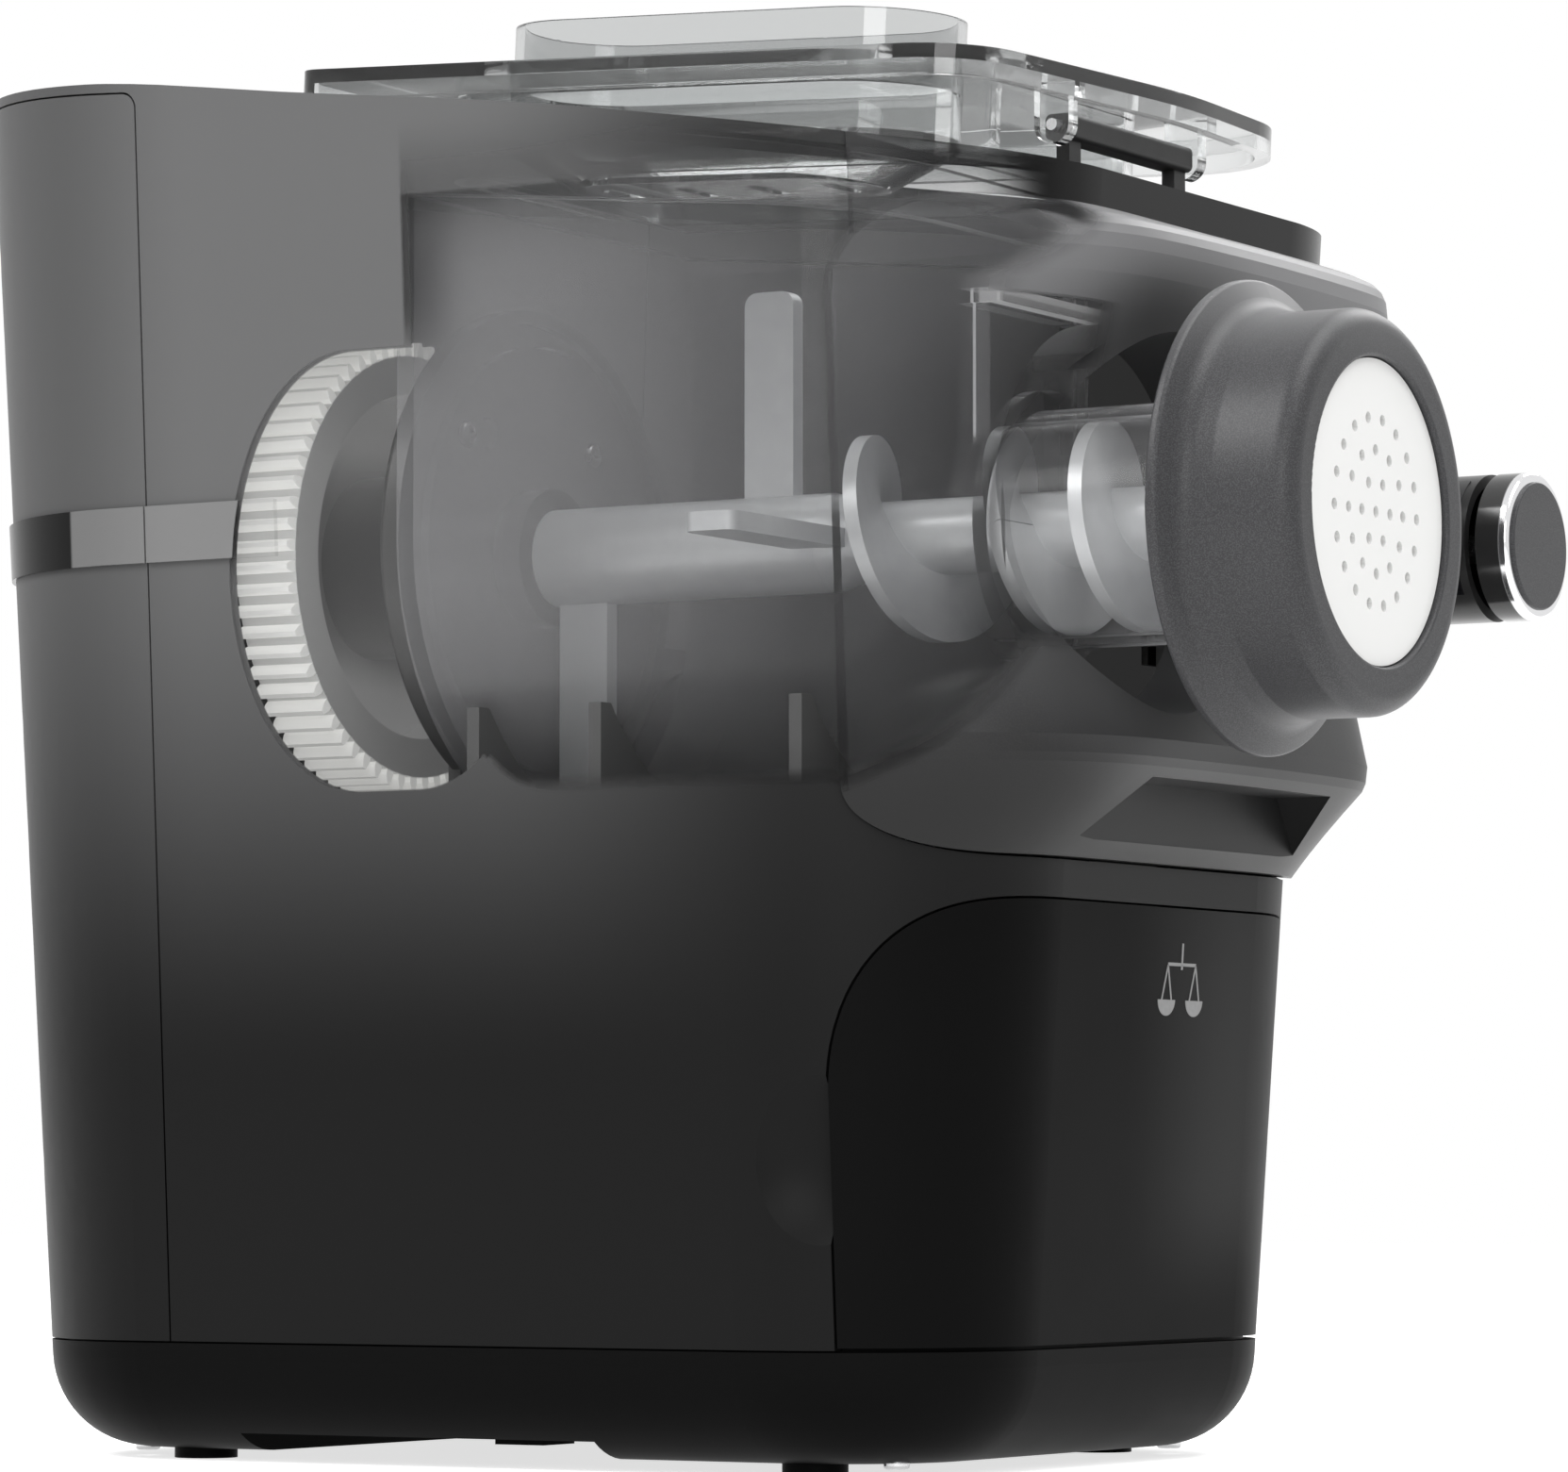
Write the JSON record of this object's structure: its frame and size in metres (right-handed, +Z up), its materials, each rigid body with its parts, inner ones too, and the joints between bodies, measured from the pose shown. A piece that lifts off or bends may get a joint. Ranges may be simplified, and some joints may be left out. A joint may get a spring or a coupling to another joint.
{
  "type": "electric pasta maker",
  "caption": "Counter-top electric pasta maker: leaning charcoal casing, clear mixing chamber and lid, screw-fed die with bayonet cap, control cylinder, front drawer.",
  "frame": {"origin": "on the floor under the middle of the whole machine", "axes": "+X to the right seen from the front, +Y to the rear, +Z up"},
  "size_m": [0.21, 0.3284, 0.3077],
  "materials": {
    "casing_charcoal": "satin charcoal moulding, very fine grain",
    "piano_black": "high gloss black",
    "panel_grey": "dark grey with a fine metallic grain",
    "cap_grey": "dark grey with a fine metallic grain",
    "knob_grey": "satin dark grey",
    "drawer_black": "satin near black",
    "frame_black": "plain black moulding",
    "latch_black": "semi-gloss black",
    "hub_black": "plain black moulding",
    "clear_plastic": "clear moulding with a slight grey tint",
    "disc_white": "smooth off-white",
    "gear_grey": "light grey matte gear plastic",
    "housing_grey": "light grey satin",
    "rod_satin": "satin die casting",
    "bright_steel": "ground steel",
    "bare_aluminium": "plain sheet and bar",
    "motor_can": "black painted steel can",
    "circuit_board": "green board",
    "soft_rubber": "black rubber",
    "seal_rubber": "black sealing rubber",
    "glass_black": "black display window",
    "ring_chrome": "mirror chrome"
  },
  "bodies": {
    "base": {"base_tray": "frame_black", "body_casing": "casing_charcoal", "control_board": "circuit_board", "control_housing": "knob_grey", "cord_gland": "soft_rubber", "disc_seal": "seal_rubber", "display_glass": "glass_black", "drawer_runners": "frame_black", "drive_housing": "housing_grey", "encoder": "hub_black", "extruding_tube": "clear_plastic", "front_collar": "piano_black", "gear_plate": "bare_aluminium", "hopper_frame": "clear_plastic", "idler_pin": "bright_steel", "inner_frame": "frame_black", "load_cells": "bare_aluminium", "mixing_chamber": "clear_plastic", "motor": "motor_can", "motor_bracket": "bare_aluminium", "power_board": "circuit_board", "rear_cover": "casing_charcoal", "rubber_feet": "soft_rubber", "shaft_bearings": "bright_steel", "shaft_seal": "seal_rubber", "shaping_disc": "disc_white", "trim_band": "piano_black"},
    "lid": {"lid": "clear_plastic", "latch_pins": "bright_steel"},
    "latch": {"lid_latch": "latch_black"},
    "drawer": {"drawer_front": "drawer_black", "drawer_box": "drawer_black"},
    "panel": {"front_panel": "panel_grey"},
    "cap": {"die_cap": "cap_grey"},
    "drive": {"drive_gear": "gear_grey", "gear_hub": "hub_black", "drive_shaft": "bright_steel"},
    "rod": {"mixing_rod": "rod_satin"},
    "idler": {"idler_gear": "gear_grey"},
    "rotor": {"motor_pinion": "gear_grey", "motor_shaft": "bright_steel", "motor_fan": "hub_black"},
    "stem": {"encoder_stem": "bright_steel"},
    "knob": {"knob": "knob_grey", "chrome_ring": "ring_chrome"}
  },
  "joints": [
    {"name": "lid_lift", "type": "slide", "parent": "base", "child": "lid", "axis": [0, 0, 1], "range_m": [0, 0.12]},
    {"name": "latch_flip", "type": "hinge", "parent": "lid", "child": "latch", "pos_m": [-0.015, -0.095, 0.2765], "axis": [1, 0, 0], "range_deg": [0, 14], "stiffness_Nm_per_rad": 0.25},
    {"name": "drawer_slide", "type": "slide", "parent": "base", "child": "drawer", "axis": [0, -1, 0], "range_m": [0, 0.115]},
    {"name": "knob_press", "type": "slide", "parent": "base", "child": "stem", "axis": [0, 1, 0], "range_m": [0, 0.0015], "stiffness_N_per_m": 1500},
    {"name": "knob_turn", "type": "hinge", "parent": "stem", "child": "knob", "pos_m": [0.056, -0.154, 0.1947], "axis": [0, -1, 0], "continuous": true},
    {"name": "cap_turn", "type": "hinge", "parent": "base", "child": "cap", "pos_m": [-0.036, -0.151, 0.1937], "axis": [0, -1, 0], "range_deg": [0, 60]},
    {"name": "panel_pull", "type": "slide", "parent": "base", "child": "panel", "axis": [0, -1, 0], "range_m": [0, 0.011]},
    {"name": "drive_spin", "type": "hinge", "parent": "base", "child": "drive", "pos_m": [-0.036, 0.076, 0.1937], "axis": [0, -1, 0], "continuous": true},
    {"name": "rod_spin", "type": "hinge", "parent": "base", "child": "rod", "pos_m": [-0.036, 0, 0.1937], "axis": [0, -1, 0], "continuous": true},
    {"name": "idler_spin", "type": "hinge", "parent": "base", "child": "idler", "pos_m": [0.0132, 0.09, 0.15925], "axis": [0, -1, 0], "continuous": true},
    {"name": "motor_spin", "type": "hinge", "parent": "base", "child": "rotor", "pos_m": [0.05143, 0.03, 0.14534], "axis": [0, -1, 0], "continuous": true}
  ],
  "couplings": [
    {"joint": "rod_spin", "follows": "drive_spin", "ratio": 1},
    {"joint": "idler_spin", "follows": "drive_spin", "ratio": -4},
    {"joint": "motor_spin", "follows": "drive_spin", "ratio": 13.333}
  ]
}
